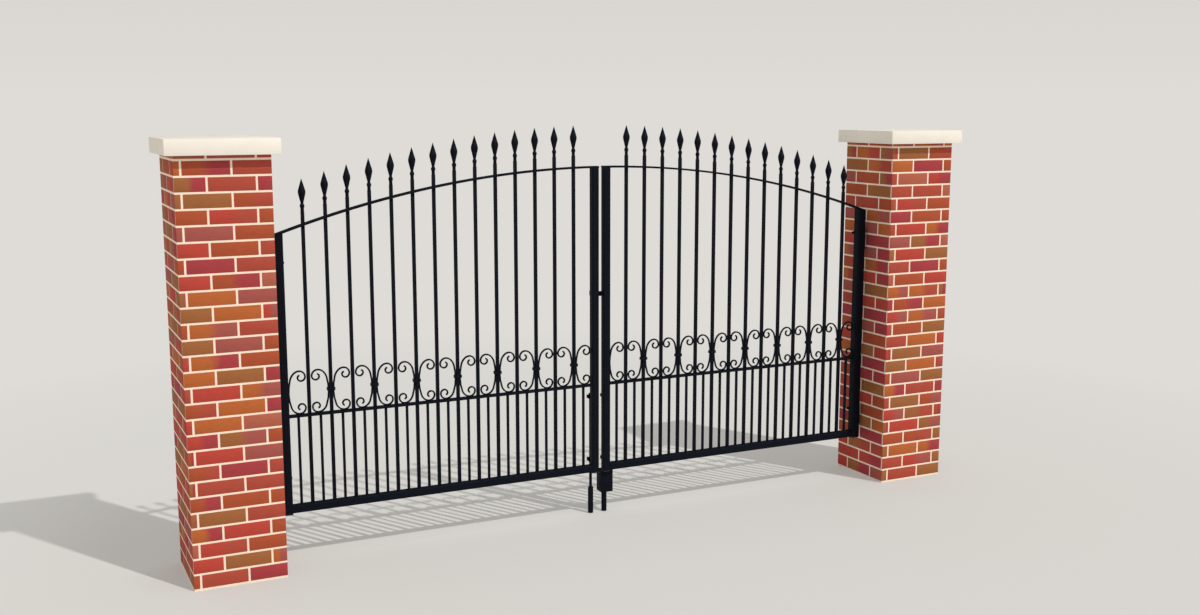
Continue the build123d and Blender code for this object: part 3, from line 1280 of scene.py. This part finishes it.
    def finial_mesh(self) -> bpy.types.Mesh:
        """Turn one round spear with its bead and stem, the top of its bar at height 0.

        Returns:
            The spear.
        """
        piece = Piece("finial")
        verts = [piece.bm.verts.new((radius, 0, height)) for radius, height, _ in self.FINIAL_OUTLINE]
        for pair in zip(verts, verts[1:]):
            piece.bm.edges.new(pair)
        for vert, (_, _, reach) in zip(verts, self.FINIAL_OUTLINE):
            if reach:
                piece.bevel([vert], reach, self.finial_corner_steps, "VERTICES")
        profile = [*piece.bm.verts, *piece.bm.edges]
        piece.spin(profile, (0, 0, 0), Axis.Z.way, math.tau, self.finial_sides)
        piece.close()
        return piece.mesh()

    def make_finials(self) -> None:
        """Set a spear on every long bar."""
        spear = self.finial_mesh()
        piece = Piece(self.side.node("finial_spears"))
        for x in self.bar_places:
            piece.stamp(spear, Matrix.Translation((x, 0, self.finial_foot(x))))
        self.finish(piece, "finials")

    def add_curl(self, piece: Piece, arcs: Sequence[tuple[float, float]], heading: int, depth: float) -> None:
        """Bend a square bar through a chain of arcs, all turning to +X at first.

        Args:
            piece: the mesh that the bar joins.
            arcs: the radius, in gaps between bars, and the turn of each arc.
            heading: 1 up from the back's middle, and -1 down.
            depth: the bar's width.
        """
        section = piece.section(Matrix.Diagonal((depth, depth, 1, 1)), self.edge, segments=1)
        point, inward, angle = Vector((0, 0, 0)), Vector((1, 0, 0)), 0.0
        for share, turn in arcs:
            radius = share * self.gap
            centre = point + inward * radius
            swing = math.radians(turn)
            steps = max(1, round(turn / self.DEGREES_PER_STEP))
            section = piece.spin(section, centre, (0, heading, 0), swing, steps)
            angle += swing
            inward = Vector((math.cos(angle), 0, -heading * math.sin(angle)))
            point = centre - inward * radius

    def make_scrolls(self) -> None:
        """Stand the scrolls on the middle rail, back to back on every second bar."""
        low, high = self.side.box("scrolls")
        depth = high.y - low.y
        bent = Piece("scroll")
        self.add_curl(bent, self.UPPER_ARCS, 1, depth)
        self.add_curl(bent, self.LOWER_ARCS, -1, depth)
        bent.close()
        scroll = bent.mesh()
        height = self.rail[1].z + self.scroll_seat - min(vert.co.z for vert in scroll.vertices)
        offset = self.gap / 2 - self.scroll_seat - depth / 2
        piece = Piece(self.side.node("scroll_bars"))
        for index, x in enumerate(self.gap_places):
            facing = -1 if index % 2 else 1
            place = Matrix.Translation((x - facing * offset, 0, height))
            piece.stamp(scroll, place @ Matrix.Diagonal((facing, 1, 1, 1)))
        self.finish(piece, "scrolls")

    def make_collars(self) -> None:
        """Clasp each pair of scrolls to its bar."""
        low, high = self.side.box("collars")
        places = self.bar_places[1::2]
        half = (high.x - low.x - (places[-1] - places[0])) / 2
        wall = self.collar_wall
        piece = Piece(self.side.node("collar_bands"))
        for x in places:
            bore = (x - half + wall, x + half - wall, low.y + wall, high.y - wall)
            piece.sleeve((x - half, low.y, low.z), (x + half, high.y, high.z), bore, self.collar_edge)
        self.finish(piece, "collars")


# The fittings

@dataclass
class Hardware:
    """One half's hinges, drop bolt and guides, and the latch or the bolt's box."""

    side: Side
    finishes: Finishes
    edge: float = 0.001
    foot_height: float = 0.149
    foot_chamfer: float = 0.001
    foot_sides: int = 40
    rod_radius: float = 0.008
    rod_sides: int = 32
    head_radius: float = 0.011
    head_height: float = 0.010
    head_chamfer: float = 0.0015
    guide_height: float = 0.018

    # How far the guides' bores stay clear of the rod
    bore_slack: float = 0.00005
    box_wall: float = 0.004
    box_hole: float = 0.040
    hinge_height: float = 0.044
    eye_radius: float = 0.010
    eye_wall: float = 0.00395
    eye_sides: int = 40
    band_tip: float = 0.010
    band_edge: float = 0.0005

    # How far inward of the pin the rivets are
    rivet_places: tuple[float, float] = (0.032, 0.057)
    rivet_radius: float = 0.0045
    rivet_height: float = 0.0025
    rivet_sides: int = 20
    rivet_edge: float = 0.0015
    plate_depth: float = 0.008

    # How far below each strap the anchor bolts are
    anchor_drops: tuple[float, float] = (0.034, 0.062)
    anchor_radius: float = 0.0085
    anchor_height: float = 0.0045
    anchor_sides: int = 6
    anchor_edge: float = 0.0006

    def __post_init__(self) -> None:
        """Take the places of the bolt and the hinges from the frame."""
        self.bolt = self.side.box("drop_bolt")
        self.bolt_middle = (self.bolt[0] + self.bolt[1]) / 2
        low, high = self.side.box("hinge_bands")
        self.band_feet = (low.z, high.z - self.hinge_height)
        self.band_front = low.y
        self.band_tail, eye = self.side.ends("hinge_bands")
        self.pin = eye - self.side.outward * self.eye_radius

    def build(self) -> None:
        """Make every fitting of this half."""
        self.make_drop_bolt()
        self.make_guides()
        self.make_bands()
        self.make_fixings()
        if self.side is Side.LEFT:
            self.make_latch()
        else:
            self.make_box()
        paint(self.side.node("hinge_hooks"), self.finishes.iron)

    def make_drop_bolt(self) -> None:
        """Make the sliding rod with its thick foot and its head."""
        low, high = self.bolt
        x, y, _ = self.bolt_middle
        foot_radius = (high.x - low.x) / 2
        rod_foot = low.z + self.foot_height
        head_foot = high.z - self.head_height
        piece = Piece(self.side.node("drop_bolt_rod"))
        piece.rod((x, y, low.z), foot_radius, self.foot_height, self.foot_sides, self.foot_chamfer)
        piece.rod((x, y, rod_foot), self.rod_radius, head_foot - rod_foot, self.rod_sides)
        piece.rod((x, y, head_foot), self.head_radius, self.head_height, self.rod_sides, self.head_chamfer)
        piece.finish(self.side.node("drop_bolt"), "iron", self.finishes.iron, self.side.node("drop_bolt"))

    def bolt_bore(self, half: float) -> tuple[float, float, float, float]:
        """The sides of a square bore, this far from the bolt's middle."""
        x, y, _ = self.bolt_middle
        return (x - half, x + half, y - half, y + half)

    def make_guides(self) -> None:
        """Make the two blocks that the bolt slides through."""
        low, high = self.side.box("bolt_guides")
        bore = self.bolt_bore(self.rod_radius + self.bore_slack)
        piece = Piece(self.side.node("bolt_guide_blocks"))
        for foot in (low.z, high.z - self.guide_height):
            piece.sleeve((low.x, low.y, foot), (high.x, high.y, foot + self.guide_height), bore, self.edge)
        piece.finish(self.side.leaf, "iron", self.finishes.fittings, self.side.node("bolt_guides"))

    def make_bands(self) -> None:
        """Make the tapered straps with their rolled eyes round the hinge pins."""
        _, edge = self.side.ends("hinge_stile")
        bore = self.eye_radius - self.eye_wall
        piece = Piece(self.side.node("hinge_straps"))
        for foot in self.band_feet:
            top, middle = foot + self.hinge_height, foot + self.hinge_height / 2
            upper = [(self.pin, top), (edge, top), (self.band_tail, middle + self.band_tip / 2)]
            outline = [*upper, *[(x, 2 * middle - z) for x, z in reversed(upper)]]
            corners = [(x, self.band_front, z) for x, z in outline]
            piece.plate(corners, (0, self.eye_wall, 0), self.band_edge)
            centre = Vector((self.pin, self.band_front + self.eye_radius, foot))
            piece.tube(centre, self.eye_radius, bore, self.hinge_height, self.eye_sides)
        piece.finish(self.side.leaf, "iron", self.finishes.iron, self.side.node("hinge_bands"))

    def make_fixings(self) -> None:
        """Make the rivets through the straps and the anchor bolts of the plates on the pier."""
        outward = self.side.outward
        low, high = self.side.box("hinge_hooks")
        _, wall = self.side.ends("hinge_hooks")
        plate = wall - outward * self.plate_depth
        anchor_x = min(plate, plate - outward * self.anchor_height)
        anchor_y = (low.y + high.y) / 2
        rivets, anchors = [Piece(self.side.node(name)) for name in ("hinge_rivets", "hinge_anchors")]
        rivet = (self.rivet_radius, self.rivet_height, self.rivet_sides, self.rivet_edge, Axis.Y)
        anchor = (self.anchor_radius, self.anchor_height, self.anchor_sides, self.anchor_edge, Axis.X)
        for foot in self.band_feet:
            for reach in self.rivet_places:
                x, y = self.pin - outward * reach, self.band_front + self.eye_wall
                rivets.rod((x, y, foot + self.hinge_height / 2), *rivet)
            for drop in self.anchor_drops:
                anchors.rod((anchor_x, anchor_y, foot - drop), *anchor)
        rivets.finish(self.side.leaf, "iron", self.finishes.iron)
        anchors.finish("posts", "iron", self.finishes.iron)

    def make_latch(self) -> None:
        """Make the tongue across the gap and the lock's case behind it."""
        for node in ("latch_tongue", "lock_case"):
            piece = Piece(f"{node}_block")
            piece.block(*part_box(node), self.edge)
            piece.finish(self.side.leaf, "iron", self.finishes.fittings, node)

    def make_box(self) -> None:
        """Make the box round the bolt's foot, open below, with a square hole in its top."""
        low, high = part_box("bolt_box")
        wall = self.box_wall
        under = high.z - wall
        inside = (low.x + wall, high.x - wall, low.y + wall, high.y - wall)
        piece = Piece("bolt_box_shell")
        piece.sleeve(low, (high.x, high.y, under), inside, self.edge)
        piece.sleeve((low.x, low.y, under), high, self.bolt_bore(self.box_hole / 2), self.edge)
        piece.finish(self.side.leaf, "iron", self.finishes.iron, "bolt_box")


# The studio

@dataclass(frozen=True)
class Studio:
    """The floor, the light and the camera."""

    camera_place: Triple = (-1.0198, -6.24078, 2.27368)
    camera_yaw: float = 25.9685
    camera_pitch: float = 8.9925
    camera_reach: float = 200.0
    lens: float = 38.354
    sensor: float = 36.0
    sun_path: Triple = (-0.795, 1.426, -2.125)
    sun_colour: Triple = (1.0, 0.985, 0.955)
    sun_strength: float = 2.2
    sun_angle: float = 1.0
    sky_colour: Colour = (1.0, 0.99, 0.97, 1.0)
    sky_strength: float = 0.62
    floor_size: float = 120.0
    floor_colour: Colour = linear(204, 203, 200)
    floor_rough: float = 0.9
    gate_middle: Triple = (2.02, 0.0, 0.0)
    near_tone: Colour = linear(212, 210, 205)
    backdrop: Colour = linear(223, 220, 215)
    upper_backdrop: Colour = linear(200, 197, 192)

    # How far the floor's shadows are lifted, and where the floor starts to fade and ends in the backdrop
    shadow_lift: float = 0.28
    fade_start: float = 2.6
    fade_end: float = 6.0

    # How far up the sky the backdrop turns into its upper tone
    backdrop_reach: float = 0.3

    def build(self) -> None:
        """Set everything up."""
        self.lay_floor()
        self.light_sky()
        self.hang_sun()
        self.aim_camera()
        bpy.context.scene.view_settings.view_transform = "Standard"

    def lay_floor(self) -> None:
        """Lay a wide pale floor that keeps the gate's shadow and fades into the backdrop."""
        piece = Piece("floor")
        bmesh.ops.create_grid(piece.bm, x_segments=1, y_segments=1, size=self.floor_size)
        mesh = piece.mesh()
        shader = Surface("floor_paint")
        mesh.materials.append(
            shader.dress(Base_Color=self.floor_colour, Roughness=self.floor_rough, Specular_IOR_Level=0.0)
        )
        ends = {0: shader.place(), 1: self.gate_middle}
        distance = shader.wire("ShaderNodeVectorMath", {"operation": "DISTANCE"}, ends, "Value")
        fade = distance.spread(self.fade_start, self.fade_end)
        tone = shader.mix(fade, self.near_tone, self.backdrop)
        glow = shader.wire("ShaderNodeEmission", None, {"Color": tone}, "Emission")
        share = shader.seen() * (self.shadow_lift + (1 - self.shadow_lift) * fade)
        shader.show(shader.blend(share, shader.paint, glow))
        add_object("floor", mesh)

    def light_sky(self) -> None:
        """Light the scene evenly from all round, and show a pale backdrop behind it."""
        world = bpy.data.worlds.new("studio")
        shader = Shader(world, "ShaderNodeOutputWorld")
        way = shader.wire("ShaderNodeTexCoord", None, None, "Generated")
        height = shader.wire("ShaderNodeSeparateXYZ", None, {"Vector": way}, "Z")
        tone = shader.mix(height.spread(0.0, self.backdrop_reach), self.backdrop, self.upper_backdrop)
        glow = {"Color": self.sky_colour, "Strength": self.sky_strength}
        light = shader.wire("ShaderNodeBackground", None, glow, "Background")
        backdrop = shader.wire("ShaderNodeBackground", None, {"Color": tone}, "Background")
        shader.show(shader.blend(shader.seen(), light, backdrop))
        bpy.context.scene.world = world

    def hang_sun(self) -> None:
        """Hang the main lamp, to the front, right and above."""
        lamp = bpy.data.lights.new("key", "SUN")
        lamp.energy = self.sun_strength
        lamp.angle = math.radians(self.sun_angle)
        lamp.color = self.sun_colour
        add_object("key", lamp).rotation_euler = Vector(self.sun_path).to_track_quat("-Z", "Y").to_euler()

    def aim_camera(self) -> None:
        """Place the camera where the photograph was taken from."""
        lens = bpy.data.cameras.new("camera")
        lens.lens = self.lens
        lens.sensor_fit = "HORIZONTAL"
        lens.sensor_width = self.sensor
        lens.clip_end = self.camera_reach
        camera = add_object("camera", lens)
        camera.location = self.camera_place
        camera.rotation_euler = (math.radians(90 - self.camera_pitch), 0, -math.radians(self.camera_yaw))
        bpy.context.scene.camera = camera


def main() -> None:
    """Build the gate, half by half, and its studio."""
    Studio().build()
    finishes = Finishes()
    arch = Arch.from_frame()
    for side in Side:
        Masonry(side, finishes).build()
        Ironwork(side, finishes, arch).build()
        Hardware(side, finishes).build()


if __name__ == "__main__":
    main()
